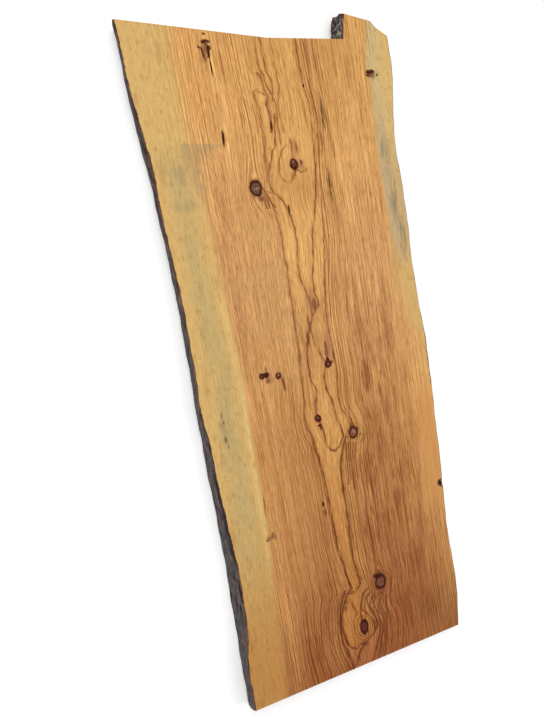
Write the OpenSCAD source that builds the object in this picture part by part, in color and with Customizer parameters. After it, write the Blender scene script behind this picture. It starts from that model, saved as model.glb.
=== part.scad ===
// Live-edge timber slab: a wide plank sawn lengthwise through the heart of a log.
// It lies flat on its underside. X runs across the slab from the heart line, Y runs
// along the grain from the foot to the butt, and Z is up. Millimetres.

/* [Slab] */
// Length from the foot cut to the butt cut
length = 2000; // [1200:10:3000]
// Sawn thickness
thickness = 55; // [30:1:90]

/* [Left live edge] */
// Heart line to the left edge at the foot
left_foot = 386; // [260:1:500]
// Heart line to the left edge halfway along
left_middle = 403; // [260:1:520]
// Heart line to the left edge at the butt
left_butt = 471; // [300:1:600]
// How far the underside stands out past the top face at the foot
left_wane_foot = 2; // [-15:1:40]
// How far the underside stands out past the top face at the butt
left_wane_butt = -6; // [-25:1:40]

/* [Right live edge] */
// Heart line to the right edge at the foot
right_foot = 385; // [260:1:500]
// Heart line to the right edge halfway along
right_middle = 423; // [260:1:520]
// Heart line to the right edge at the butt
right_butt = 465; // [360:1:600]
// How far the underside stands out past the top face at the foot
right_wane_foot = 0; // [-15:1:40]
// How far the underside stands out past the top face at the butt
right_wane_butt = -8; // [-25:1:40]

/* [Bark side] */
// How far the bark swells out between the two sawn faces
swell = 4; // [0:0.5:15]
// Height of the small waves along both live edges
ripple_h = 1.5; // [0:0.5:8]
// Length of the small waves along both live edges
ripple_length = 190; // [60:5:400]

/* [Butt cut and felling tongue] */
// How far the two passes of the butt cut dip where they meet at the heart
butt_dip = 17; // [0:1:60]
// Heart line to the torn side of the tongue, at its root
tongue_root = 282; // [150:1:300]
// Height of the tongue above the butt cut
tongue_rise = 87; // [30:1:150]
// How far the torn side leans outwards from root to tip
tongue_lean = 17; // [-20:1:30]
// Gently sloping run of the felling notch, from the tip outwards
notch_run = 104; // [40:1:110]
// Fall of the felling notch over that run
notch_fall = 16; // [0:1:25]
// Width of the steep step at the end of that run
notch_step_w = 21; // [5:1:30]
// Fall of that step
notch_step_fall = 22; // [0:1:40]
// Slope of the last stretch of the notch, out to the live edge, in degrees
notch_slope = 31; // [0:1:45]

/* [Checks and pockets] */
// Depth of the drying checks in the top face
check_depth = 9; // [2:0.5:20]
// Width of the drying checks at their middle
check_w = 3.5; // [1:0.5:8]
// Depth of the bark pockets and loose knots in the top face
pocket_depth = 5; // [1:0.5:20]

/* [Hidden] */

overall = length + tongue_rise;
y_foot = -overall / 2;
y_butt = y_foot + length;
y_tip = overall / 2;

// Blank left past the end cuts before they are sawn
spare = 40;
// Distance between the cross sections of the blank
station_step = 12.5;
stations = ceil((overall + 2 * spare) / station_step);
// Depths of the points on a live edge, from the top face (0) to the underside (1)
edge_depths = [0, 0.06, 0.2, 0.4, 0.6, 0.8, 0.94, 1];
edge_points = len(edge_depths);
ring = 2 * edge_points;

// How far the arris on the top face wanders from the even taper, at even stations from foot to butt
left_wander = [0, -1, -15, -17, -11, -3, -2, 6, 0, -3, -5, -1, -3, -5, 5, 4, 2];
right_wander = [-17, -2, -7, -10, -4, -2, 0, 2, 0, -10, -15, -13, -15, -23, -17, 0, 0];
// How far the left arris on the underside wanders from its even wane, at even stations from foot to butt
left_under = [-2, 2, 2, 6, 0, -6, -5, 2, -6];

// Drying checks in the top face: [across from the heart, along from the foot, length, turn]
checks = [
    [-203, 1876, 60, 0],
    [-201, 1665, 62, -2],
    [156, 1745, 120, -4],
    [141, 1513, 104, -6],
];

// Bark pockets and loose knots in the top face: [across, along, length, turn, width]
pockets = [
    [-214, 1931, 56, 8, 26],
    [371, 1893, 38, 90, 18],
    [394, 483, 32, 5, 18],
];

heartwood = [0.80, 0.58, 0.33];

// Curve through three values, at the foot (t = 0), halfway and at the butt (t = 1)
function taper(foot, middle, butt, t) =
    foot * (1 - t) * (1 - 2 * t) + middle * 4 * t * (1 - t) + butt * t * (2 * t - 1);

function pick(list, i) = list[max(0, min(len(list) - 1, i))];

// Smooth curve through a list of values at even stations
function smooth(list, t) =
    let (
        u = max(0, min(1, t)) * (len(list) - 1),
        i = floor(u),
        f = u - i,
        a = pick(list, i - 1),
        b = pick(list, i),
        c = pick(list, i + 1),
        d = pick(list, i + 2)
    )
    b + f * (c - a) / 2 + f * f * (a - 2.5 * b + 2 * c - d / 2) + f * f * f * (1.5 * (b - c) + (d - a) / 2);

function ripple(y, phase) =
    ripple_h * (0.6 * sin(360 * y / ripple_length + phase) + 0.4 * sin(930 * y / ripple_length + 2 * phase));

function mix(a, b, t) = a + (b - a) * t;

// Heart line to a live edge at a depth: the arris wanders on the top face, and the bark swells out below it
function live_edge(half, wander, wane, depth) =
    half + mix(wander, wane, depth) + swell * pow(sin(180 * depth), 0.6);
function left_edge(t, y, depth) =
    live_edge(
        taper(left_foot, left_middle, left_butt, t) + ripple(y, 40),
        smooth(left_wander, t),
        mix(left_wane_foot, left_wane_butt, t) + smooth(left_under, t),
        depth
    );
function right_edge(t, y, depth) =
    live_edge(
        taper(right_foot, right_middle, right_butt, t) + ripple(y, 205),
        smooth(right_wander, t),
        mix(right_wane_foot, right_wane_butt, t),
        depth
    );

// One cross section of the blank: down the left edge, then up the right edge
function section(y) =
    let (t = (y - y_foot) / length)
    [
        for (i = [0:ring - 1])
            let (
                left = i < edge_points,
                depth = left ? edge_depths[i] : edge_depths[ring - 1 - i],
                x = left ? -left_edge(t, y, depth) : right_edge(t, y, depth)
            )
            [x, y, thickness * (1 - depth)]
    ];

// The slab as it leaves the saw, before its ends are cut
module blank() {
    y_start = y_foot - spare;
    step = (overall + 2 * spare) / stations;
    points = [for (s = [0:stations]) each section(y_start + s * step)];
    sides = [
        for (s = [0:stations - 1], i = [0:ring - 1])
            let (j = (i + 1) % ring, a = s * ring, b = a + ring)
            each [[a + i, b + j, b + i], [a + i, a + j, b + j]]
    ];
    foot_end = [for (i = [ring - 1:-1:0]) i];
    butt_end = [for (i = [0:ring - 1]) stations * ring + i];
    polyhedron(points, concat(sides, [foot_end, butt_end]));
}

// Outline that the saw leaves: foot cut, felling notch, tongue and the two passes of the butt cut
module end_cuts() {
    wide = 2 * max(left_foot, left_middle, left_butt, right_foot, right_middle, right_butt);
    tip_x = tongue_root + tongue_lean;
    brow_x = tip_x + notch_run;
    brow_y = y_tip - notch_fall;
    ledge_x = brow_x + notch_step_w;
    ledge_y = brow_y - notch_step_fall;
    translate([0, 0, -spare])
        linear_extrude(thickness + 2 * spare)
            polygon([
                [-wide, y_foot],
                [wide, y_foot],
                [wide, ledge_y - (wide - ledge_x) * tan(notch_slope)],
                [ledge_x, ledge_y],
                [brow_x, brow_y],
                [tip_x, y_tip],
                [tongue_root, y_butt],
                [0, y_butt - butt_dip],
                [-left_butt, y_butt],
                [-wide, y_butt],
            ]);
}

// Pointed hollow that opens in the top face, long along Y before it is turned
module hollow(across, along, long, turn, wide, deep) {
    r = (long * long + wide * wide) / (4 * wide);
    translate([across, y_foot + along, thickness - deep])
        rotate(turn)
            linear_extrude(2 * deep)
                intersection() {
                    translate([r - wide / 2, 0]) circle(r, $fn = 360);
                    translate([wide / 2 - r, 0]) circle(r, $fn = 360);
                }
}

module slab() {
    color(heartwood)
        difference() {
            intersection() {
                blank();
                end_cuts();
            }
            for (c = checks)
                hollow(c[0], c[1], c[2], c[3], check_w, check_depth);
            for (p = pockets)
                hollow(p[0], p[1], p[2], p[3], p[4], pocket_depth);
        }
}

slab();
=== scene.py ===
import math

import bpy
from mathutils import Matrix, Vector, noise
from mathutils.bvhtree import BVHTree


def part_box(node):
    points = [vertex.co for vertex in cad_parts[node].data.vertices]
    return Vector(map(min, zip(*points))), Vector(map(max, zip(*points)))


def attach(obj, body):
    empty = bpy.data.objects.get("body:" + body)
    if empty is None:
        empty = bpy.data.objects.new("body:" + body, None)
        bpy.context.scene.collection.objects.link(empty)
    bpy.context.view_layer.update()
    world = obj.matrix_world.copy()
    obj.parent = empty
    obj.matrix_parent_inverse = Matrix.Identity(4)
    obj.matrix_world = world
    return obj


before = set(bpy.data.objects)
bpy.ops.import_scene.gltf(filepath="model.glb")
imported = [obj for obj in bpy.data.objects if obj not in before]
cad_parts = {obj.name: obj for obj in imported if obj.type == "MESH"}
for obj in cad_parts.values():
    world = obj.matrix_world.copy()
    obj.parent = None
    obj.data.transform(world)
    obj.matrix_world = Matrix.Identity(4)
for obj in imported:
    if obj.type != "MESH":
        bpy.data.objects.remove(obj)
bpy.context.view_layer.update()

# Lengths and places below are in millimetres, on the slab as it lies
MM = 0.001
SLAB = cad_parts["slab"]
LOW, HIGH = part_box("slab")
THICK = HIGH[2] / MM
Y_FOOT = LOW[1] / MM
Y_TIP = HIGH[1] / MM
# Torn side of the tongue: where it leaves the butt cut, and how far it leans out for each millimetre up
Y_BUTT = 957
TONGUE_ROOT = 282
TONGUE_LEAN = 17 / 87


def srgb(red, green, blue):
    """Linear colour of an 8-bit screen colour."""
    def linear(value):
        value /= 255
        return value / 12.92 if value <= 0.04045 else ((value + 0.055) / 1.055) ** 2.4
    return (linear(red), linear(green), linear(blue), 1.0)


# Fields: numbers and colours that vary over a surface, built from shader nodes

def put(tree, value, socket):
    """Link a field to a socket, or set the socket to a constant."""
    if isinstance(value, Field):
        tree.links.new(value.socket, socket)
    else:
        socket.default_value = value


def calc(tree, operation, *values):
    """Result of a Math node on fields and constants."""
    node = tree.nodes.new("ShaderNodeMath")
    node.operation = operation
    for value, socket in zip(values, node.inputs):
        put(tree, value, socket)
    return Field(tree, node.outputs[0])


class Field:
    """A number or a colour that varies over the surface."""

    def __init__(self, tree, socket):
        self.tree = tree
        self.socket = socket

    def __add__(self, other):
        return calc(self.tree, "ADD", self, other)

    def __sub__(self, other):
        return calc(self.tree, "SUBTRACT", self, other)

    def __rsub__(self, other):
        return calc(self.tree, "SUBTRACT", other, self)

    def __mul__(self, other):
        return calc(self.tree, "MULTIPLY", self, other)

    def __truediv__(self, other):
        return calc(self.tree, "DIVIDE", self, other)

    __radd__ = __add__

    def scaled(self, factor, offset):
        return calc(self.tree, "MULTIPLY_ADD", self, factor, offset)

    def sqrt(self):
        return calc(self.tree, "SQRT", self)

    def abs(self):
        return calc(self.tree, "ABSOLUTE", self)

    def least(self, other):
        return calc(self.tree, "MINIMUM", self, other)

    def most(self, other):
        return calc(self.tree, "MAXIMUM", self, other)

    def step(self, start, end):
        """0 at start, 1 at end, smooth between."""
        node = self.tree.nodes.new("ShaderNodeMapRange")
        node.interpolation_type = "SMOOTHSTEP"
        # Smoothstep keeps within 0 and 1 by itself
        node.clamp = False
        put(self.tree, self, node.inputs["Value"])
        put(self.tree, start, node.inputs["From Min"])
        put(self.tree, end, node.inputs["From Max"])
        return Field(self.tree, node.outputs["Result"])

    def ridge(self, centre, half_width):
        """1 at centre, 0 from half_width away."""
        return (self - centre).abs().step(half_width, 0.0)

    def ridge_top(self, centre, flat, foot):
        """1 up to flat away from centre, 0 from foot away."""
        return (self - centre).abs().step(foot, flat)

    def into(self, other, amount):
        """This colour, turned into another by an amount."""
        return blend(self.tree, "MIX", self, other, amount)

    def times(self, other, amount):
        """This colour, multiplied by another by an amount."""
        return blend(self.tree, "MULTIPLY", self, other, amount)


def blend(tree, mode, first, second, amount):
    """Two colours in a Mix node: the first at amount 0, the result of the mode at amount 1."""
    node = tree.nodes.new("ShaderNodeMix")
    node.data_type = "RGBA"
    node.blend_type = mode
    # The colour sockets of a Mix node come after those of its other data types
    factor, first_colour, second_colour = node.inputs[0], node.inputs[6], node.inputs[7]
    put(tree, amount, factor)
    put(tree, first, first_colour)
    put(tree, second, second_colour)
    return Field(tree, node.outputs[2])


def vector(tree, x, y):
    """A place on a plane."""
    node = tree.nodes.new("ShaderNodeCombineXYZ")
    for value, socket in zip((x, y), node.inputs):
        put(tree, value, socket)
    return Field(tree, node.outputs[0])


def cloud(tree, x, y, size_x, size_y, seed, detail=2.0, rough=0.5):
    """Soft noise from 0 to 1 with patches of a given size."""
    place = vector(tree, x.scaled(1 / size_x, seed), y.scaled(1 / size_y, 1.7 * seed))
    node = tree.nodes.new("ShaderNodeTexNoise")
    node.noise_dimensions = "2D"
    put(tree, place, node.inputs["Vector"])
    node.inputs["Scale"].default_value = 1.0
    node.inputs["Detail"].default_value = detail
    node.inputs["Roughness"].default_value = rough
    return Field(tree, node.outputs[0])


def lines(tree, u, size, seed, detail=1.0):
    """Noise from 0 to 1 that varies along one coordinate only."""
    place = u.scaled(1 / size, seed)
    node = tree.nodes.new("ShaderNodeTexNoise")
    node.noise_dimensions = "1D"
    put(tree, place, node.inputs["W"])
    node.inputs["Scale"].default_value = 1.0
    node.inputs["Detail"].default_value = detail
    return Field(tree, node.outputs[0])


def profile(y, points):
    """Smooth curve of a value along the slab, through points (y, value) in order of y."""
    tree = y.tree
    first, last = points[0][0], points[-1][0]
    low = min(value for _, value in points)
    high = max(value for _, value in points)
    span = max(high - low, 1e-6)
    share = y.scaled(1 / (last - first), -first / (last - first))
    node = tree.nodes.new("ShaderNodeFloatCurve")
    curve = node.mapping.curves[0]
    while len(curve.points) < len(points):
        curve.points.new(0.5, 0.5)
    for (at, value), point in zip(points, curve.points):
        point.location = ((at - first) / (last - first), (value - low) / span)
        point.handle_type = "AUTO_CLAMPED"
    node.mapping.update()
    put(tree, share, node.inputs["Value"])
    return Field(tree, node.outputs[0]).scaled(span, low)


def nearest(tree, place, spots):
    """Distance to the nearest of a list of ovals (x, y, half width, half height); 1 is on its rim."""
    best = None
    for x, y, half_x, half_y in spots:
        scaled = tree.nodes.new("ShaderNodeVectorMath")
        scaled.operation = "MULTIPLY_ADD"
        put(tree, place, scaled.inputs[0])
        scaled.inputs[1].default_value = (1 / half_x, 1 / half_y, 0)
        scaled.inputs[2].default_value = (-x / half_x, -y / half_y, 0)
        length = tree.nodes.new("ShaderNodeVectorMath")
        length.operation = "LENGTH"
        tree.links.new(scaled.outputs[0], length.inputs[0])
        reach = Field(tree, length.outputs["Value"])
        best = reach if best is None else best.least(reach)
    return best


def new_material(name):
    """A material, its node tree and its shader."""
    material = bpy.data.materials.new(name)
    material.use_nodes = True
    tree = material.node_tree
    shader = tree.nodes["Principled BSDF"]
    return material, tree, shader


def surface_place(tree):
    """X, Y and Z on the part, in millimetres."""
    coords = tree.nodes.new("ShaderNodeTexCoord")
    split = tree.nodes.new("ShaderNodeSeparateXYZ")
    tree.links.new(coords.outputs["Object"], split.inputs[0])
    return [Field(tree, output) * (1 / MM) for output in split.outputs]


def bump_height(tree, shader, strength, distance):
    """Height socket of a bump on a shader, with its distance in metres."""
    bump = tree.nodes.new("ShaderNodeBump")
    bump.inputs["Strength"].default_value = strength
    bump.inputs["Distance"].default_value = distance
    tree.links.new(bump.outputs[0], shader.inputs["Normal"])
    return bump.inputs["Height"]


# Wood

# Edges of the pale heart stripe, as places (y, x) along the slab
HEART_LEFT = [
    (-1050, -44), (-1033, -47), (-987, -62), (-930, -70), (-907, -67), (-853, -57), (-813, -34),
    (-795, -18), (-773, -20), (-707, -30), (-640, -40), (-573, -43), (-450, -46), (-380, -55), (-320, -64),
    (-260, -80), (-200, -73), (-80, -68), (0, -63), (113, -63), (227, -60), (300, -60), (380, -67),
    (440, -84), (487, -76), (560, -70), (640, -66), (730, -70), (800, -76), (1050, -80),
]
HEART_RIGHT = [
    (-1050, 16), (-1033, 26), (-980, 52), (-945, 60), (-905, 46), (-867, 26), (-840, 30), (-815, 34),
    (-790, 22), (-767, 17), (-693, 8), (-573, 12), (-453, 13), (-373, 33), (-330, 54), (-300, 68),
    (-267, 64), (-200, 47), (-173, 50), (-100, 57), (-40, 55), (27, 52), (100, 57), (180, 67), (253, 80),
    (320, 90), (413, 94), (480, 95), (547, 101), (640, 109), (720, 113), (793, 106), (900, 100), (1050, 98),
]
# The stripe's usual half width, and how far above the top face the pith of the log lies
HEART_HALF = 58
HEART_RISE = 95

# Single lines drawn on the heart stripe: strength, half width, places (y, x)
HEART_LINES = [
    (0.8, 3.4, [
        (0, -27), (7, -20), (33, -10), (57, 0), (87, 3), (113, 0), (140, -7), (167, -15), (207, -19),
        (247, -17), (307, -10), (383, -20), (440, -47), (487, -73), (527, -63), (573, -47), (613, -30),
        (700, -17),
    ]),
    (0.85, 3.0, [
        (60, 2), (83, 20), (100, 30), (140, 23), (167, 23), (200, 30), (273, 43), (320, 50), (340, 57),
        (413, 77), (480, 90), (547, 100), (640, 108), (720, 113), (793, 103), (870, 100), (950, 98),
    ]),
    (0.8, 2.0, [
        (-300, 75), (-267, 67), (-200, 47), (-173, 50), (-100, 57), (-40, 55), (27, 52), (100, 57),
        (180, 67), (253, 80), (320, 90), (400, 99), (480, 108), (560, 118), (640, 124),
    ]),
    (0.75, 3.2, [
        (-330, -62), (-300, -70), (-260, -80), (-200, -73), (-80, -68), (0, -63), (113, -63), (227, -60),
        (300, -60), (380, -67), (440, -84), (470, -98),
    ]),
    (0.9, 3.4, [
        (-368, 2), (-364, -8), (-358, -13), (-347, -19), (-300, -23), (-257, -37), (-233, -40), (-173, -27),
        (-133, -40), (-80, -39), (-27, -33), (0, -22),
    ]),
    (0.9, 3.4, [
        (-368, 3), (-364, 13), (-355, 24), (-340, 35), (-320, 43), (-267, 30), (-213, 23), (-160, 10),
        (-133, 10), (-100, 25),
    ]),
    (0.6, 2.8, [(-90, 24), (-73, 13), (-13, -7), (20, -12)]),
    (0.75, 2.8, [(483, -8), (486, -18), (493, -25), (513, -33), (573, -17), (600, 2)]),
    (0.75, 2.8, [(483, -8), (486, 2), (492, 8), (513, 17), (540, 30)]),
    (0.8, 3.2, [(487, -75), (560, -72), (640, -65), (730, -70), (765, -77), (774, -66)]),
    (0.9, 3.6, [(756, -40), (764, -48), (768, -60), (771, -72)]),
    (0.85, 4.2, [(640, -36), (693, -33), (720, -40), (752, -32), (775, -37), (815, -47), (826, -54)]),
    (0.75, 3.4, [(600, -12), (680, -10), (720, -7), (790, -30), (827, -36), (838, -44)]),
    (0.75, 3.4, [(740, -14), (800, -10), (830, -22), (880, -26), (937, -27), (960, -24)]),
    (0.6, 2.8, [(800, -36), (870, -46), (937, -43), (960, -42)]),
    (0.6, 2.8, [(640, 6), (720, 2), (800, 14), (870, 12), (960, 8)]),
    (0.6, 2.8, [(600, 138), (700, 133), (780, 127), (860, 129), (960, 124)]),
    (0.45, 2.4, [(560, 176), (700, 168), (830, 163), (960, 160)]),
    (0.9, 3.6, [
        (-803, -14), (-790, -17), (-773, -20), (-707, -30), (-640, -40), (-573, -43), (-450, -46),
        (-380, -55), (-320, -64),
    ]),
    (0.8, 4.8, [
        (-816, -4), (-808, 6), (-800, 13), (-787, 20), (-767, 17), (-693, 8), (-573, 12), (-453, 13),
        (-373, 33), (-330, 53),
    ]),
    (0.9, 4.4, [
        (-986, -32), (-980, -42), (-972, -50), (-953, -60), (-907, -67), (-853, -57), (-825, -40),
        (-813, -30), (-800, -16),
    ]),
    (0.85, 4.4, [
        (-986, -32), (-980, -18), (-973, -6), (-963, 27), (-947, 46), (-920, 43), (-893, 27), (-867, 10),
        (-840, 17), (-826, 30), (-820, 44),
    ]),
    (0.7, 3.0, [(-887, -6), (-873, -12), (-850, -20), (-833, -27), (-818, -34)]),
    (0.85, 4.4, [(-1046, -54), (-1033, -50), (-987, -63), (-927, -74), (-860, -66), (-800, -40)]),
    (0.85, 4.4, [
        (-1038, -46), (-1030, -38), (-1003, -23), (-980, 2), (-960, 38), (-930, 58), (-890, 44), (-850, 34),
        (-835, 44),
    ]),
    (0.75, 2.6, [(-1043, 22), (-980, 53), (-930, 68), (-890, 62), (-860, 54), (-846, 62)]),
    (0.65, 2.6, [(-1043, 44), (-980, 68), (-930, 82), (-890, 78), (-862, 76)]),
    (0.65, 2.6, [(-1043, 66), (-980, 84), (-920, 98), (-860, 104)]),
    (1.0, 3.0, [(407, -67), (423, -76), (436, -81), (446, -89), (449, -97)]),
    (1.0, 3.0, [(404, -84), (424, -87), (437, -93), (442, -101)]),
    (0.95, 2.8, [(404, -92), (416, -94), (428, -99), (432, -106)]),
    (0.9, 2.8, [(450, -72), (455, -79), (458, -90)]),
    (0.75, 2.8, [(-480, 36), (-394, 43), (-349, 49)]),
    (0.75, 2.8, [(-470, 46), (-394, 51), (-350, 57)]),
    (0.8, 2.8, [(-500, 54), (-394, 59), (-352, 65)]),
    (0.75, 2.8, [(-460, 63), (-394, 67), (-354, 73)]),
    (0.7, 2.8, [(-470, 71), (-394, 75), (-358, 82)]),
    (0.9, 2.8, [(-905, 2), (-863, 8), (-834, 18), (-816, 44)]),
    (0.9, 2.8, [(-900, 20), (-868, 23), (-844, 29), (-829, 53)]),
    (0.9, 2.6, [(-910, 36), (-873, 40), (-856, 47), (-839, 66)]),
    (0.7, 2.4, [(-900, 52), (-866, 58), (-852, 70), (-847, 84)]),
    (0.7, 2.4, [(-905, 68), (-872, 74), (-860, 86), (-856, 98)]),
    (0.6, 3.0, [(-154, -129), (-128, -133), (-110, -139)]),
]
# Noise thins the lines, so they are drawn wider by this
LINE_SCALE = 1.55
# A line's dark core, as a share of its half width, and the faint glow beside it
LINE_CORE = 0.15
GLOW_REACH = 3.5
GLOW = 0.24
# Rings round knots: strength and oval x, y, half width, half height
KNOT_RINGS = [
    (0.8, (8, -926, 24, 34)), (0.55, (6, -922, 33, 46)), (0.6, (84, -326, 23, 24)),
    (0.4, (88, -330, 32, 34)), (0.6, (92, -816, 27, 32)), (0.4, (94, -822, 38, 46)),
]

# Where the heartwood ends and the sapwood starts on each side, as places (y, x) along the slab
SAP_LEFT = [
    (-1050, -286), (-850, -278), (-600, -262), (-200, -262), (80, -272), (400, -292), (650, -312),
    (1050, -316),
]
SAP_RIGHT = [
    (-1050, 500), (-260, 480), (-60, 402), (60, 358), (150, 350), (220, 350), (700, 352), (760, 358),
    (805, 361), (840, 359), (870, 357), (900, 360), (960, 371), (1020, 378), (1050, 382),
]
# How light the heartwood is along the slab, 0 deep to 1 light, as places (y, tone); the fall towards the foot
# is partly the wood's own deeper colour and partly painted shade of light falling off
TONE = [
    (-1050, -0.05), (-950, 0.1), (-800, 0.36), (-600, 0.5), (-300, 0.66), (0, 0.9), (300, 1.0), (450, 0.97),
    (750, 0.9), (1050, 0.86),
]

# A light and a red streak on the right side, as places (y, x) along the slab
LIGHT_STREAK = [(300, 198), (384, 195), (519, 189), (651, 187), (700, 181), (749, 175), (820, 168)]
RED_STREAK = [(-1050, 255), (-854, 273), (-550, 300), (-480, 315), (-300, 330), (-200, 338)]

# Ovals where the heartwood is a little deeper or lighter: x, y, half width, half height
DEEPER = [
    (-190, 450, 110, 110), (-235, -280, 60, 150), (200, 0, 150, 130), (150, -300, 60, 70),
    (-235, 0, 50, 120), (90, -150, 45, 90), (290, 300, 60, 120), (-230, 270, 60, 120), (30, -620, 50, 90),
]
LIGHTER = [
    (150, 690, 36, 150), (95, 440, 30, 80), (96, -300, 40, 50), (62, -905, 70, 60), (92, 20, 30, 90),
    (-95, -960, 50, 90),
]

# Sound knots: x, y, half width, half height and colour of the core
SOUND_KNOTS = [
    (-121, 468, 19, 24, "grey_core"), (82, -324, 16, 17, "red_core"), (93, -811, 18, 22, "tan_core"),
    (9, -929, 14, 21, "dark_core"),
]
# Dead knots, marks and stains on the top face, and painted highlights on knots, as ovals: x, y, half width,
# half height
DEAD_KNOTS = [
    (24, 541, 13, 16), (-200, -99, 8, 8), (-188, -98, 9, 8), (-147, -105, 8, 8), (31, -94, 10, 11),
    (-36, -258, 10, 11),
]
DARK_FLECKS = [
    (-209, 912, 17, 6), (-222, 880, 4, 20), (-203, 878, 4, 20), (-200, 894, 7, 8), (-211, 935, 5, 4),
    (-233, 894, 5, 4), (-203, 834, 3, 30), (-201, 622, 4.5, 28), (-20, 398, 3.5, 18), (-33, 662, 4, 15),
    (50, 547, 3, 9), (103, 793, 4, 7), (32, -79, 8, 6), (-34, -279, 7, 4), (-31, -287, 3.5, 7),
    (-66, -520, 4, 10), (371, 853, 18, 8), (359, 838, 6, 6), (397, 843, 4, 5), (388, -560, 14, 13),
    (90, -796, 12, 6), (78, -789, 10, 9), (-187, -98, 6, 6), (107, -333, 3, 3),
]
PURPLE_MARKS = [
    (-210, 895, 12, 15), (-226, 892, 8, 6), (-219, 872, 8, 26), (-117, 447, 10, 5), (-109, 435, 10, 7),
    (24, 522, 8, 8), (23, 510, 4, 10), (24, 602, 4, 26), (42, 592, 4, 24), (-183, -115, 7, 9),
    (-184, -80, 4, 12), (-132, -130, 4, 22), (31, -62, 7, 20), (32, -38, 6, 16), (54, -72, 4, 18),
    (47, -92, 6, 6), (2, -982, 15, 8), (-22, -812, 15, 7), (-42, -834, 9, 9), (-46, -852, 6, 10),
    (368, 842, 20, 12), (16, 96, 9, 20), (-15, 40, 5, 30), (-26, -10, 6, 26), (36, 522, 6, 4),
    (44, 515, 7, 3.5), (55, 516, 7, 3.5), (64, 525, 4, 8), (-259, -478, 2.5, 36), (-63, -548, 6, 14),
    (2, -366, 15, 4),
]
# Painted highlights on the knots
GLINTS = [
    (21, 548, 4, 6), (31, -97, 3.5, 3.5), (-146, -103, 4, 4), (-38, -255, 3, 3), (-118, 467, 11, 3.5),
    (84, -322, 6, 8),
]
PINK_STREAKS = [
    (8, 105, 20, 50), (-26, 0, 10, 26), (38, -44, 14, 44), (32, 596, 14, 36), (26, 571, 13, 13),
    (-100, 436, 26, 20), (137, 890, 7, 80), (-176, -113, 16, 10), (-136, -126, 6, 22), (-213, 874, 12, 24),
    (96, -838, 26, 10), (370, 842, 24, 18), (-34, 700, 8, 70), (-254, -573, 18, 10), (48, 540, 18, 22),
    (-36, -212, 7, 42),
]
DRYING_CHECKS = [
    (158, 704, 4, 72), (152, 690, 2, 46), (164, 716, 2, 40), (142, 472, 4, 62), (136, 462, 2, 40),
    (148, 486, 2, 34), (-265, -578, 7, 5), (-256, -573, 6, 4), (-247, -567, 5, 9), (-242, -577, 3.5, 9),
    (-347, -190, 3, 9), (-342, -214, 3, 7), (-344, -262, 4, 12), (-338, -284, 3, 9),
]
STAINS = [
    (-310, 560, 50, 60), (-300, 500, 34, 90), (-350, 520, 36, 60), (-352, 425, 52, 26),
    (-345, -230, 16, 70), (-207, 902, 14, 8),
]
STREAKED_STAINS = [(374, 592, 14, 46), (384, 420, 20, 130), (396, 290, 20, 90)]

WOOD = {
    "light": srgb(230, 178, 110),
    "deep": srgb(170, 106, 62),
    "red": srgb(159, 96, 60),
    "pale": srgb(226, 174, 104),
    # pale_low and sap_low, at the foot, are partly deeper wood and partly painted shade of light falling off
    "pale_low": srgb(194, 131, 66),
    "sap": srgb(210, 172, 108),
    "sap_low": srgb(190, 137, 75),
    "green": srgb(190, 164, 108),
    "fringe": srgb(218, 184, 118),
    "straw": srgb(208, 184, 128),
    "sage": srgb(192, 167, 127),
    "stain": srgb(146, 132, 98),
    "damp": srgb(124, 114, 88),
    "pink": srgb(150, 88, 66),
    "rosy": srgb(221, 169, 117),
    "amber": srgb(204, 145, 84),
    "grey_core": srgb(114, 79, 61),
    "red_core": srgb(136, 83, 62),
    "tan_core": srgb(124, 76, 53),
    "dark_core": srgb(98, 46, 34),
    "rim": srgb(52, 10, 4),
    "fleck": srgb(58, 18, 18),
    "purple": srgb(98, 46, 38),
    "glint": srgb(176, 136, 118),
    "check": srgb(104, 80, 46),
    "torn": srgb(48, 38, 34),
}
# What full-strength dark lines leave of the colour under them
RING_SHADE = (0.52, 0.38, 0.25, 1)
HEART_SHADE = (0.28, 0.11, 0.05, 1)
# What other full-strength marks make of the colour under them
TINT = {
    "dim_heart": (0.84, 0.8, 0.78, 1),
    "light_fibre": (1.34, 1.34, 1.28, 1),
    "light_line": (1.3, 1.3, 1.3, 1),
    "quiet": (0.88, 0.87, 0.84, 1),
    "pale_foot": (1.0, 1.13, 1.18, 1),
    "light_streak": (1.2, 1.2, 1.2, 1),
    "light_fuzz": (1.12, 1.12, 1.12, 1),
    "light_stripe": (1.12, 1.12, 1.08, 1),
    "scratch": (1.2, 1.2, 1.2, 1),
}


def push_aside(tree, x, place, knots):
    """Across-slab coordinate with the grain led round each knot."""
    moved = x
    for kx, ky, half_x, half_y in knots:
        dx = x - kx
        reach = nearest(tree, place, [(kx, ky, 3.2 * half_x, 4.2 * half_y)])
        moved = moved - dx / (dx.abs() + half_x * 0.8) * reach.step(1.0, 0.0) * (half_x * 1.2)
    return moved


def drawn_line(x, y, thin, half_width, places):
    """A line through places (y, x), narrower where thin is large, fading out at both ends."""
    off = (x - profile(y, places)).abs() * thin
    first, last = places[0][0], places[-1][0]
    core = off.step(half_width, half_width * LINE_CORE)
    glow = off.step(half_width * GLOW_REACH, 0.0) * GLOW
    reach = (last - first) / 2
    return core.most(glow) * y.ridge_top((first + last) / 2, reach - 1, reach + 4)


def line_group():
    """Node group that gives the strength of the lines drawn on the heart stripe at a place."""
    tree = bpy.data.node_groups.new("heart_lines", "ShaderNodeTree")
    for name in ("x", "y"):
        tree.interface.new_socket(name, in_out="INPUT", socket_type="NodeSocketFloat")
    tree.interface.new_socket("strength", in_out="OUTPUT", socket_type="NodeSocketFloat")
    x, y = [Field(tree, socket) for socket in tree.nodes.new("NodeGroupInput").outputs[:2]]
    thin = cloud(tree, x, y, 18, 36, 4.9).scaled(1.6, 0.2)
    total = None
    for strength, half_width, places in HEART_LINES:
        line = drawn_line(x, y, thin, half_width * LINE_SCALE, places) * strength
        total = line if total is None else total.most(line)
    put(tree, total, tree.nodes.new("NodeGroupOutput").inputs[0])
    return tree


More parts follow.
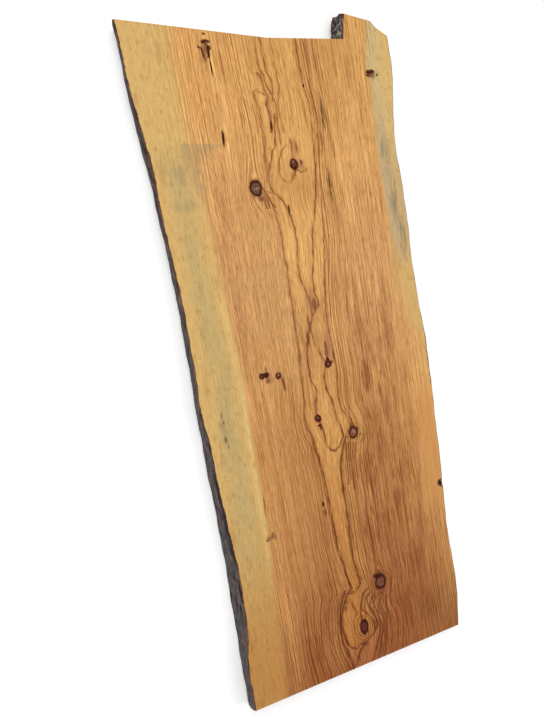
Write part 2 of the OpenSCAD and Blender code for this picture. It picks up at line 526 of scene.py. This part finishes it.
class Grain:
    """Places on the slab and how the grain lies there, as fields."""

    def __init__(self, tree):
        self.tree = tree
        self.x, self.y, z = surface_place(tree)
        x, y = self.x, self.y
        self.depth = THICK - z
        self.wobble = self.cloud(x, y, 22, 26, 3.1, 3.0) - 0.5
        self.wander = self.cloud(x, y, 90, 420, 8.3) - 0.5
        self.jitter = self.cloud(x, y, 10, 70, 5.2) - 0.5
        # Knots lean outwards and up the log as they go down through the slab
        lean = self.depth * (1 / 60) + 1.0
        self.knot_place = vector(tree, x / lean + self.wobble * 9, y - self.depth * 0.5 + self.wobble * 9)
        self.face_place = vector(tree, x + self.wobble * 5, y + self.wobble * 12)
        led = push_aside(tree, x, self.knot_place, [knot[:4] for knot in SOUND_KNOTS] + DEAD_KNOTS[:1])
        self.wiggle = (self.cloud(x, y, 13, 19, 7.3) - 0.5) * 8
        # Away from the heart the grain follows the taper of the log
        beyond = x - x.most(-70.0).least(70.0)
        bent = led + self.wander * 12 + self.jitter * 3 - y * beyond * 0.00013
        self.bent = bent
        self.combed = self.lines(bent, 5.0, 1.3, 2.0)
        # Distance out from the heart stripe: near it the rings follow its edges, far off they run straight
        left, right = profile(y, HEART_LEFT), profile(y, HEART_RIGHT)
        from_right = bent - HEART_HALF - (right - HEART_HALF) * (x - right).step(200, 0)
        from_left = (bent * -1.0) - HEART_HALF + (left + HEART_HALF) * (left - x).step(200, 0)
        self.out = from_right.most(from_left)
        self.in_heart = self.out.step(4, -10)
        self.side = x.step(-60, 70)
        level = (self.out + HEART_HALF).most(0.0)
        rise = self.depth + HEART_RISE
        self.ring = (level * level + rise * rise).sqrt() * (self.side * 0.14 + 0.93)
        near = x.abs().step(260, 40)
        self.across = bent - (left + right) * 0.5 * near

    def cloud(self, *settings):
        return cloud(self.tree, *settings)

    def lines(self, *settings):
        return lines(self.tree, *settings)

    def oval(self, place, spots):
        return nearest(self.tree, place, spots)


def heart_ground(grain):
    """Colour of the heartwood under its rings, and the deeper areas low on its left and right."""
    x, y, across = grain.x, grain.y, grain.across
    patch = grain.cloud(across, y, 50, 700, 1.4) - 0.5
    blot = grain.cloud(across, y, 24, 130, 5.6, 3.0)
    right_of_knot = (x + y.step(-360, -480) * 60).step(90, 140)
    low_right = right_of_knot * x.step(380, 200) * y.step(420, -150) * y.step(-1120, -900)
    low_left = x.step(-60, -110) * x.step(-240, -150) * y.ridge_top(-880, 50, 170)
    mid_left = x.step(-50, -80) * x.step(-230, -130) * y.step(50, -300)
    far_right = x.step(300, 380) * y.step(50, -300) * y.step(-1060, -900)
    tone = profile(y, TONE) + patch * 0.5 - low_right * 0.2 - low_left * 0.1 + far_right * 0.25
    tone = tone - grain.oval(grain.face_place, DEEPER).step(1.3, 0.2) * 0.2
    tone = tone + grain.oval(grain.face_place, LIGHTER).step(1.3, 0.3) * 0.3
    tone = tone + x.step(-180, -250) * y.step(-500, -850) * 0.25
    tone = tone - x.ridge(-235, 60) * y.ridge(250, 600) * 0.25
    base = blend(grain.tree, "MIX", WOOD["deep"], WOOD["light"], tone)
    base = base.into(WOOD["rosy"], y.ridge(200, 600) * 0.6)
    streak = grain.cloud(across, y, 16, 600, 4.4, 3.0)
    streaked = streak.step(0.45, 0.7) * (low_right * 0.36 + 0.15)
    base = base.into(WOOD["red"], streaked + blot.step(0.5, 0.66) * low_right * 0.46 + mid_left * 0.2)
    # Pale stripe that darkens towards the foot: partly its own colour, partly painted shade
    pale = blend(grain.tree, "MIX", WOOD["pale_low"], WOOD["pale"], y.step(-950, 200))
    base = base.into(pale, grain.in_heart * y.step(-1000, -925) * (0.7 - y.ridge(-100, 350) * 0.4))
    dim = y.ridge(460, 110).most(y.ridge(-20, 240)).most(y.step(650, 900) * 0.6)
    return base.times(TINT["dim_heart"], grain.in_heart * dim), low_left, low_right


def growth_rings(grain, base, quiet):
    """A colour with growth rings: plain near the heart and at the foot, faint far out and where quiet."""
    x, y = grain.x, grain.y
    plain = (grain.out.step(140, 10) * (1.0 - quiet * 0.85)).most(y.step(-550, -950) * 0.8)
    wavy = grain.ring + grain.wiggle * 0.22
    come_and_go = grain.cloud(grain.ring, y, 9, 500, 6.0).step(0.2, 0.6)
    broad = grain.lines(wavy, 5.0, 2.0).step(0.48, 0.64) * come_and_go
    middle = grain.lines(wavy, 3.0, 9.0, 2.0).step(0.42, 0.66)
    calm = 1.0 - grain.in_heart * 0.8
    foot = y.step(-600, -950) * x.step(-40, -90)
    strength = broad * (plain * 0.5 + foot * 0.3 + 0.2) + middle * (plain * 0.35 + 0.25)
    return base.times(RING_SHADE, strength * (calm - quiet * 0.35))


def sawn_fibres(grain, base, quiet):
    """A colour with the torn fibres of the sawn face, and fine lines beside the left sapwood."""
    x, y, across = grain.x, grain.y, grain.across
    fibre = grain.cloud(across + grain.wiggle * 0.3, y, 2.9, 30, 3.4, 2.0, 0.55)
    hair = grain.cloud(across, y, 2.3, 150, 6.9, 2.0, 0.6)
    band = grain.cloud(across, y, 6.5, 320, 2.5, 2.0) * grain.side
    dark = fibre.step(0.48, 0.3) * (0.34 + quiet * 0.1) + hair.step(0.48, 0.64) * (0.52 - quiet * 0.1)
    base = base.times(RING_SHADE, dark + band.step(0.5, 0.68) * 0.34)
    light = fibre.step(0.52, 0.72) * (0.5 + quiet * 0.15) + hair.step(0.46, 0.32) * (0.64 - quiet * 0.1)
    base = base.times(TINT["light_fibre"], light)
    light_lines = grain.combed.step(0.54, 0.68) * x.step(-170, -235)
    along = y.ridge_top(100, 250, 450) * 0.3 + y.step(-800, -450) * 0.55
    base = base.times(TINT["light_line"], light_lines * along)
    base = base.times(RING_SHADE, grain.combed.step(0.48, 0.34) * x.step(-170, -235) * 0.2)
    return base.times(TINT["quiet"], quiet)


def right_streaks(grain, base):
    """A colour with the paler foot and the streaks on the right side."""
    x, y = grain.x, grain.y
    base = base.times(TINT["pale_foot"], y.step(-820, -980) * x.step(150, 260))
    light = (x - profile(y, LIGHT_STREAK) + grain.jitter * 8).ridge(0.0, 13)
    base = base.times(TINT["light_streak"], light * y.ridge_top(560, 140, 260) * 0.8)
    beside = x - profile(y, RED_STREAK) + grain.jitter * 8
    base = base.into(WOOD["red"], beside.ridge(0.0, 14) * y.ridge_top(-600, 220, 330) * 0.4)
    return base.into(WOOD["amber"], beside.step(2, 18) * y.ridge_top(-430, 130, 250) * 0.6)


def heartwood(grain):
    """Colour of the heartwood."""
    x, y = grain.x, grain.y
    base, low_left, low_right = heart_ground(grain)
    # Left of the heart, around halfway along, the rings hardly show
    quiet = x.step(-40, -75) * y.ridge_top(140, 190, 360)
    base = growth_rings(grain, base, quiet)
    base = sawn_fibres(grain, base, quiet)
    base = right_streaks(grain, base)
    dash = grain.cloud(grain.across + grain.wiggle * 0.4, y, 4.5, 70, 9.1, 2.0).step(0.57, 0.7)
    return base.times(RING_SHADE, dash * (low_right * 0.6 + low_left * 0.5 + 0.1))


def heart_marks(grain):
    """Strength of the lines drawn on the heart stripe, only near the top face."""
    x = grain.x + grain.wobble * 7
    y = grain.y + grain.jitter * 8
    drawn = grain.tree.nodes.new("ShaderNodeGroup")
    drawn.node_tree = line_group()
    put(grain.tree, x, drawn.inputs["x"])
    put(grain.tree, y, drawn.inputs["y"])
    total = Field(grain.tree, drawn.outputs[0])
    for strength, oval in KNOT_RINGS:
        reach = grain.oval(grain.face_place, [oval])
        total = total.most(reach.ridge(1.0, 0.11) * strength)
    broken = grain.cloud(grain.x, grain.y, 16, 60, 2.6).step(0.2, 0.55) * 0.4 + 0.6
    return total * broken * grain.depth.step(14, 3)


def sapwood(grain):
    """Colour of the sapwood and how much of it shows at a place."""
    x, y = grain.x, grain.y
    edge_wave = grain.wander * 12 + grain.jitter * 6
    from_left = profile(y, SAP_LEFT) + edge_wave - x
    from_right = x + edge_wave - profile(y, SAP_RIGHT)
    inside = from_left.most(from_right)
    drift = grain.cloud(x, y, 36, 160, 7.7, 4.0, 0.6)
    # Sapwood that darkens towards the foot: partly its own colour, partly painted shade
    colour = blend(grain.tree, "MIX", WOOD["sap_low"], WOOD["sap"], y.step(-1000, -350))
    left_green = from_left.ridge(66, 56) * y.step(-850, -450) * y.step(640, 480)
    right_green = from_right.step(50, 34).most(y.step(860, 760) * 0.6)
    right_green = right_green * from_right.step(-2, 6) * y.step(140, 330)
    veiled = drift.step(0.2, 0.6) * 0.6 + 0.4
    colour = colour.into(WOOD["green"], left_green * veiled).into(WOOD["sage"], right_green * veiled)
    fringe = from_left.ridge(11, 15) * y.step(300, 100) * y.step(-800, -450)
    bright = from_right.step(36, 50) * y.step(480, 700)
    colour = colour.into(WOOD["fringe"], (fringe * 0.85).most(bright * 0.7))
    straw = from_right.step(52, 36) * from_right.step(-4, 6) * y.step(640, 800)
    colour = colour.into(WOOD["straw"], straw * 0.75)
    lined = grain.lines(x + edge_wave, 4.0, 3.0, 2.0).step(0.4, 0.7) * grain.cloud(x, y, 20, 200, 3.7)
    fuzz = grain.cloud(grain.bent, y, 5, 34, 4.1, 3.0, 0.6)
    smudge = grain.cloud(x, y, 15, 26, 8.8, 3.0).step(0.55, 0.75)
    dark = lined * 0.2 + fuzz.step(0.5, 0.25) * 0.2 + smudge * 0.26 + drift.step(0.55, 0.8) * 0.3
    colour = colour.times(RING_SHADE, dark).times(TINT["light_fuzz"], fuzz.step(0.5, 0.75))
    # The edge is soft at the butt on the left and halfway along on the right, and grain lines run over it
    soft = (y.step(450, 800) * 16 + 5) * x.step(50, -50) + x.step(-50, 50) * y.step(330, 180) * 40 + 7
    overlap = (grain.combed - 0.5) * (y.step(450, 800) * 80 + 14)
    return colour, (inside - overlap).step(soft * -1.0, soft)


def stained(grain, base, mottle):
    """A colour with the stripes, stains and the scratch of the left sapwood, and the stains on the right."""
    x, y = grain.x, grain.y
    striped = x.ridge_top(-300, 40, 90) * y.step(430, 700) * (mottle * 0.8 + 0.3)
    base = base.times(RING_SHADE, grain.combed.step(0.5, 0.34) * striped * 0.55)
    base = base.times(TINT["light_stripe"], grain.combed.step(0.5, 0.66) * striped)
    stain = grain.oval(grain.face_place, STAINS).step(1.25, 0.2) * mottle.step(0.3, 0.65)
    slanted = y.step(607, 601) * y.step(470, 580) * (x - y + 603 + grain.wobble * 60).step(-180, -250)
    damp = slanted * x.step(-350, -325)
    base = base.into(WOOD["stain"], (stain * 0.5).most(damp * (mottle * 0.5 + 0.2)))
    thread = grain.cloud(grain.bent, y, 4.5, 90, 1.9).step(0.35, 0.6)
    streaked = grain.oval(grain.face_place, STREAKED_STAINS).step(1.25, 0.2) * thread
    base = base.into(WOOD["damp"], streaked * 0.75)
    scratch = (y - 405 - (x + 253) * 0.2).ridge(0.0, 4.0) * x.ridge_top(-212, 20, 46)
    return base.times(TINT["scratch"], scratch * mottle.step(0.3, 0.6))


def marked(grain, base):
    """A colour with the pink streaks, the drying checks and the purple marks."""
    base = base.into(WOOD["pink"], grain.oval(grain.face_place, PINK_STREAKS).step(1.3, 0.3) * 0.5)
    sliver = grain.cloud(grain.x, grain.y, 3, 30, 1.9).step(0.35, 0.55)
    base = base.into(WOOD["check"], grain.oval(grain.face_place, DRYING_CHECKS).step(1.3, 0.6) * sliver * 0.9)
    return base.into(WOOD["purple"], grain.oval(grain.face_place, PURPLE_MARKS).step(1.3, 0.5) * 0.65)


def knotted(grain, base):
    """A colour with sound knots that have a core and a dark rim, small dead knots, painted highlights on
    knots and dark flecks.
    """
    x, y = grain.x, grain.y
    grit = grain.cloud(x, y, 7, 7, 5.7, 3.0)
    crack = grain.cloud(x, y, 3, 9, 2.3, 2.0)
    dead = grain.oval(grain.knot_place, DEAD_KNOTS)
    base = base.times(HEART_SHADE, dead.step(1.7, 1.0) * 0.5)
    for kx, ky, half_x, half_y, core in SOUND_KNOTS:
        reach = grain.oval(grain.knot_place, [(kx, ky, half_x, half_y)])
        base = base.times(HEART_SHADE, reach.step(1.6, 1.0) * 0.3)
        base = base.into(WOOD[core], reach.step(1.06, 0.96))
        inside = reach.step(1.0, 0.9)
        base = base.times(HEART_SHADE, inside * (crack.step(0.5, 0.3) * 0.45 + grit.step(0.5, 0.7) * 0.35))
        base = base.into(WOOD["rim"], reach.ridge(0.94, grit * 0.7 + 0.06) * 0.95)
    base = base.into(WOOD["purple"], dead.step(1.35, 0.9) * 0.95)
    base = base.into(WOOD["rim"], dead.ridge(0.8, 0.5) * grit.step(0.2, 0.5) * 0.95)
    # Painted highlights on the knots
    base = base.into(WOOD["glint"], grain.oval(grain.face_place, GLINTS).step(1.2, 0.3) * 0.55)
    fleck = grain.oval(grain.face_place, DARK_FLECKS)
    return base.into(WOOD["fleck"], fleck.step(1.2, 0.6) * (grit.step(0.25, 0.5) * 0.25 + 0.72))


def wood_material():
    """Wood of the slab; fields are made where they are used, because Cycles holds only so many at a time."""
    material, tree, shader = new_material("slab_wood")
    grain = Grain(tree)
    x, y = grain.x, grain.y

    base = heartwood(grain)
    base = base.times(HEART_SHADE, heart_marks(grain))
    sap, share = sapwood(grain)
    base = base.into(sap, share)
    mottle = grain.cloud(x, y, 18, 60, 9.4, 4.0, 0.6)
    base = stained(grain, base, mottle)
    base = marked(grain, base)
    base = knotted(grain, base)
    torn_edge = x - TONGUE_ROOT - (y - Y_BUTT) * TONGUE_LEAN + grain.wobble * 6
    base = base.into(WOOD["torn"], torn_edge.step(4, 1) * y.step(Y_BUTT - 0.2, Y_BUTT + 0.5))

    put(tree, base, shader.inputs["Base Color"])
    put(tree, mottle * 0.2 + 0.5, shader.inputs["Roughness"])
    shader.inputs["Specular IOR Level"].default_value = 0.06
    height = bump_height(tree, shader, 0.25, 0.001)
    put(tree, grain.cloud(x, y, 2.8, 90, 2.9, 2.0), height)
    return material


# Bark

BARK = {
    # The furrow colour also serves as painted shadow under the left top arris
    "furrow": srgb(26, 22, 22),
    "brown": srgb(74, 58, 50),
    "grey": srgb(104, 102, 102),
    "flake": srgb(132, 104, 96),
    "inner": srgb(120, 70, 46),
    "brown_top": srgb(66, 44, 34),
    "hole": srgb(44, 25, 15),
    "ash": srgb(150, 144, 138),
    "lichen": srgb(150, 150, 122),
}
# Bark of the tongue from the top face (0) to the underside (1): share of its full thickness,
# and how far it ends below the tip
TORN_CROWN = [(0, 0), (0.05, 0.5), (0.18, 0.64), (0.48, 1.0), (1, 0.45)]
TORN_DROP = [(0, 0.7), (0.08, 0.7), (0.2, 16), (0.34, 7), (0.46, 0.7), (0.54, 0.7), (0.64, 6), (1, 9)]
# Bark is meshed in rows along the slab and in levels from the top face to the underside
ROW_STEP = 1.6
LEVELS = 40
# How far its back is sunk in the wood, its least height over the wood, and its rise over the top face
SUNK = 4.0
SKIN = 0.3
RISE = 0.2
# Where the bark of both edges starts, above the foot cut, and ends
FOOT_GAP = 0.3
LEFT_END = 956
RIGHT_END = 970


def bark_material():
    """Bark of both edges and the tongue, coloured by the relief of its mesh, with painted shadow under the
    left top arris.
    """
    material, tree, shader = new_material("bark")
    x, y, z = surface_place(tree)
    node = tree.nodes.new("ShaderNodeAttribute")
    node.attribute_name = "relief"
    relief = Field(tree, node.outputs["Fac"])
    mottle = cloud(tree, z, y, 10, 50, 2.2, 4.0, 0.6)
    base = blend(tree, "MIX", BARK["furrow"], BARK["brown"], relief.step(0.1, 0.7))
    greyed = (mottle + y.step(300, -500) * 0.16).step(0.36, 0.66) * relief.step(0.15, 0.6)
    base = base.into(BARK["grey"], greyed * 0.8)
    base = base.into(BARK["flake"], cloud(tree, z, y, 12, 36, 7.1, 3.0).step(0.56, 0.68) * 0.7)
    base = base.into(BARK["inner"], (z + mottle * 6).step(THICK - 1.5, THICK + 2.5) * 0.7)
    base = base.into(BARK["brown_top"], y.step(250, 650) * mottle.step(0.55, 0.35) * 0.8)
    base = base.into(BARK["furrow"], cloud(tree, z, y, 6, 42, 5.9, 3.0).step(0.5, 0.36) * 0.45)
    # Painted shadow in the furrow colour on the left bark, just under the top arris, around y -480
    painted_arris_shadow = (z + mottle * 8).step(THICK - 8, THICK - 2) * y.ridge_top(-480, 110, 180) * x.step(0, -100)
    base = base.into(BARK["furrow"], painted_arris_shadow * 0.75)
    hole = y.ridge_top(-560, 9, 20) * x.step(365, 375) * z.step(THICK - 16, THICK - 8)
    base = base.into(BARK["hole"], hole)
    base = torn_colour(x, y, z, base)
    put(tree, base, shader.inputs["Base Color"])
    shader.inputs["Roughness"].default_value = 0.85
    shader.inputs["Specular IOR Level"].default_value = 0.25
    height = bump_height(tree, shader, 0.6, 0.0015)
    put(tree, cloud(tree, z, y, 2.5, 6, 3.3, 4.0, 0.65), height)
    return material


def torn_colour(x, y, z, base):
    """A colour with the weathered splinters, a chip and lichen on the bark of the tongue."""
    tree = x.tree
    out = x - (y - Y_BUTT) * TONGUE_LEAN + z * 0.62 - 316
    torn = y.step(Y_BUTT - 1, Y_BUTT + 1) * x.step(330, 310)
    splinter = cloud(tree, out, y, 2.6, 26, 5.5, 3.0)
    base = base.into(BARK["furrow"], splinter.step(0.5, 0.36) * torn)
    base = base.into(BARK["ash"], splinter.step(0.54, 0.68) * torn * 0.8)
    chip = (y - 993 - (out + 40) * 0.6).ridge(0.0, 4.0) * out.ridge_top(-24, 13, 18)
    lichen = nearest(tree, vector(tree, out, y), [(-16, 976, 12, 8)]).step(1.2, 0.5)
    return base.into(BARK["ash"], chip * torn).into(BARK["lichen"], lichen * torn * 0.8)


def slab_tree():
    """The CAD mesh, ready for ray casting."""
    mesh = SLAB.data
    corners = [v.co.copy() for v in mesh.vertices]
    return BVHTree.FromPolygons(corners, [tuple(p.vertices) for p in mesh.polygons])


def bark_relief(y, z, seed):
    """Height of the bark, 0 in a furrow to 1 on a plate."""
    bend = noise.noise((y / 70, z / 30, seed)) * 8
    near, second = noise.voronoi(Vector(((z + bend) / 13, y / 55, seed)))[0][:2]
    plate = min(1.0, (second - near) / 0.3)
    ridge = 1 - abs(noise.noise(((z + bend) / 8, y / 110, seed + 3))) * 1.6
    fine = noise.fractal((z / 6, y / 14, seed + 9), 0.9, 2.1, 4) * 0.14
    return max(0.0, min(1.0, plate * 0.4 + ridge * 0.5 + fine))


def smooth(value, start, end):
    """0 at start, 1 at end, smooth between."""
    share = max(0.0, min(1.0, (value - start) / (end - start)))
    return share * share * (3 - 2 * share)


def track(points, place):
    """Value at a place on a smooth line through points (place, value)."""
    for (start, low), (end, high) in zip(points, points[1:]):
        if place <= end:
            return low + (high - low) * smooth(place, start, end)
    return points[-1][1]


def edge_crown(share):
    """Share of its full thickness that bark has over a live edge, from the top arris to the bottom one."""
    return math.sin(math.pi * share) ** 0.5


def left_lift(y, share, high):
    """Height of the left bark over the wood; so below for the right bark and the tongue's."""
    return (3.0 - 2.4 * smooth(y, 400, 880)) * edge_crown(share) * high


def right_lift(y, share, high):
    return (2.5 - 2.2 * smooth(y, 400, 800)) * edge_crown(share) * high


def torn_lift(y, share, high):
    return track(TORN_CROWN, share) * (23 + 9 * high)


def left_lip(y):
    """How far the left bark laps over the top face; so below for the right bark and the tongue's."""
    return 2.0 + 1.0 * smooth(y, 200, 700)


def right_lip(y):
    return 1.2 + 2.5 * smooth(y, -260, -200) * smooth(y, 0, -60)


def torn_lip(y):
    return 2.0


def torn_top(share):
    """Where the ragged bark of the tongue ends, along the slab."""
    splinter = abs(noise.noise((share * 14, 0.3, 0.7))) * 8
    return Y_TIP - track(TORN_DROP, share) - splinter * smooth(share, 0.1, 0.3)


def side_x(tree, side, y, z):
    """Where the solid's side stands across the slab, in metres, at a place just inside its faces."""
    level = min(max(z, 0.5), THICK - 0.5)
    return tree.ray_cast(Vector((side * 2.0, y * MM, level * MM)), Vector((-side, 0, 0)))[0].x


def bark_points(tree, side, y_start, y_end, lift_of, lip_of, seed, rows):
    """Points of a bark skin, row by row from lip to underside and back in the wood, and their relief."""
    points, relief = [], []
    for row in range(rows + 1):
        along = row / rows
        for level in range(LEVELS):
            share = max(0, level - 1) / (LEVELS - 2)
            y = y_start + (y_end(share) - y_start) * along
            z = THICK * (1 - share)
            high = bark_relief(y, z, seed)
            lift = SKIN + lift_of(y, share, high)
            if level == 0:
                ragged = 0.6 + noise.fractal((y / 14, seed, 0.5), 0.8, 2.0, 4) * 0.8
                lift = -max(SKIN, lip_of(y) * ragged)
            x = side_x(tree, side, y, z) + side * lift * MM
            points.append((x, y * MM, (z + RISE * (1 - share)) * MM))
            relief.append(high)
        first, last = points[-LEVELS], points[-1]
        points.append((last[0] - side * (SUNK + lift_of(y, 1, 1)) * MM, last[1], SUNK * MM))
        points.append((first[0] - side * SUNK * MM, first[1], (THICK - SUNK) * MM))
        relief += [0.0, 0.0]
    return points, relief


def tube_faces(rows, ring):
    """Faces of a closed tube of rings of points, with both ends capped."""
    faces = []
    for row in range(rows):
        for i in range(ring):
            j = (i + 1) % ring
            faces.append((row * ring + i, (row + 1) * ring + i, (row + 1) * ring + j, row * ring + j))
    faces.append(tuple(range(ring)))
    faces.append(tuple(rows * ring + i for i in reversed(range(ring))))
    return faces


def bark_strip(name, tree, side, y_start, y_end, lift_of, lip_of, seed, material):
    """Bark on a side of the slab, as a closed skin over the solid from face to face."""
    rows = int((y_end(0) - y_start) / ROW_STEP)
    points, relief = bark_points(tree, side, y_start, y_end, lift_of, lip_of, seed, rows)
    faces = tube_faces(rows, LEVELS + 2)
    if side < 0:
        faces = [tuple(reversed(face)) for face in faces]
    mesh = bpy.data.meshes.new(name)
    mesh.from_pydata(points, [], faces)
    mesh.attributes.new("relief", "FLOAT", "POINT").data.foreach_set("value", relief)
    mesh.shade_smooth()
    piece = bpy.data.objects.new(name, mesh)
    bpy.context.collection.objects.link(piece)
    piece.data.materials.append(material)
    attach(piece, "root")


def dress_slab():
    """Wood on the CAD node, and bark on its sides."""
    SLAB.data.materials.clear()
    SLAB.data.materials.append(wood_material())
    bark = bark_material()
    tree = slab_tree()
    foot = Y_FOOT + FOOT_GAP
    bark_strip("bark_left", tree, -1, foot, lambda share: LEFT_END, left_lift, left_lip, 11.0, bark)
    bark_strip("bark_right", tree, 1, foot, lambda share: RIGHT_END, right_lift, right_lip, 27.0, bark)
    bark_strip("bark_tongue", tree, -1, Y_BUTT + 0.5, torn_top, torn_lift, torn_lip, 41.0, bark)


# Stage, light and camera, in metres

FLOOR_SIZE = 8.0
# The floor lies this little below the slab, so that the two share no plane
FLOOR_Z = -0.0006
# Own light of the floor, seen by the camera and in gloss only, that makes it white
FLOOR_GLOW = 0.3
WORLD_LIGHT = 0.46
# Lamps aimed at the middle of the slab: name, place, size and power
LAMPS = [
    ("key", (-1.2, 1.2, 3.2), 3.0, 72),
    ("fill", (1.6, -1.4, 2.6), 2.5, 28),
]


def floor_material():
    """Matt white that keeps the shadow of the slab."""
    material, tree, shader = new_material("floor_white")
    shader.inputs["Base Color"].default_value = (0.8, 0.8, 0.8, 1)
    shader.inputs["Roughness"].default_value = 1.0
    shader.inputs["Specular IOR Level"].default_value = 0.0
    shader.inputs["Emission Color"].default_value = (1, 1, 1, 1)
    path = tree.nodes.new("ShaderNodeLightPath")
    seen = Field(tree, path.outputs["Is Camera Ray"]).most(Field(tree, path.outputs["Is Glossy Ray"]))
    put(tree, seen * FLOOR_GLOW, shader.inputs["Emission Strength"])
    return material


def add_floor():
    mesh = bpy.data.meshes.new("floor")
    signs = [(-1, -1), (1, -1), (1, 1), (-1, 1)]
    mesh.from_pydata([(x * FLOOR_SIZE, y * FLOOR_SIZE, FLOOR_Z) for x, y in signs], [], [(0, 1, 2, 3)])
    floor = bpy.data.objects.new("floor", mesh)
    bpy.context.collection.objects.link(floor)
    mesh.materials.append(floor_material())


def add_lamp(name, place, size, power):
    data = bpy.data.lights.new(name, "AREA")
    data.shape = "DISK"
    data.size = size
    data.energy = power
    lamp = bpy.data.objects.new(name, data)
    lamp.location = place
    lamp.rotation_euler = (-Vector(place)).to_track_quat("-Z", "Y").to_euler()
    bpy.context.collection.objects.link(lamp)


def add_world():
    world = bpy.data.worlds.new("studio")
    world.use_nodes = True
    background = world.node_tree.nodes["Background"]
    background.inputs["Color"].default_value = (1, 1, 1, 1)
    background.inputs["Strength"].default_value = WORLD_LIGHT
    bpy.context.scene.world = world


def add_camera():
    """Camera above the slab, placed by the vanishing points of its edges and ends."""
    image_h = 723
    focal_px = 600
    right = Vector((0.8986, -0.15952, 0.40875))
    down = Vector((-0.14784, -0.98717, -0.06024))
    forward = Vector((0.41312, -0.0063, -0.91066))
    over_face = 1.6496
    data = bpy.data.cameras.new("camera")
    data.sensor_fit = "AUTO"
    data.sensor_width = 36.0
    data.lens = focal_px / image_h * data.sensor_width
    data.clip_start = 0.01
    camera = bpy.data.objects.new("camera", data)
    turn = Matrix((right, -down, -forward)).transposed().to_4x4()
    camera.matrix_world = Matrix.Translation((-0.9082, -0.0482, over_face + THICK * MM)) @ turn
    bpy.context.collection.objects.link(camera)
    bpy.context.scene.camera = camera


dress_slab()
add_floor()
add_world()
for lamp in LAMPS:
    add_lamp(*lamp)
add_camera()
bpy.context.scene.view_settings.view_transform = "Standard"
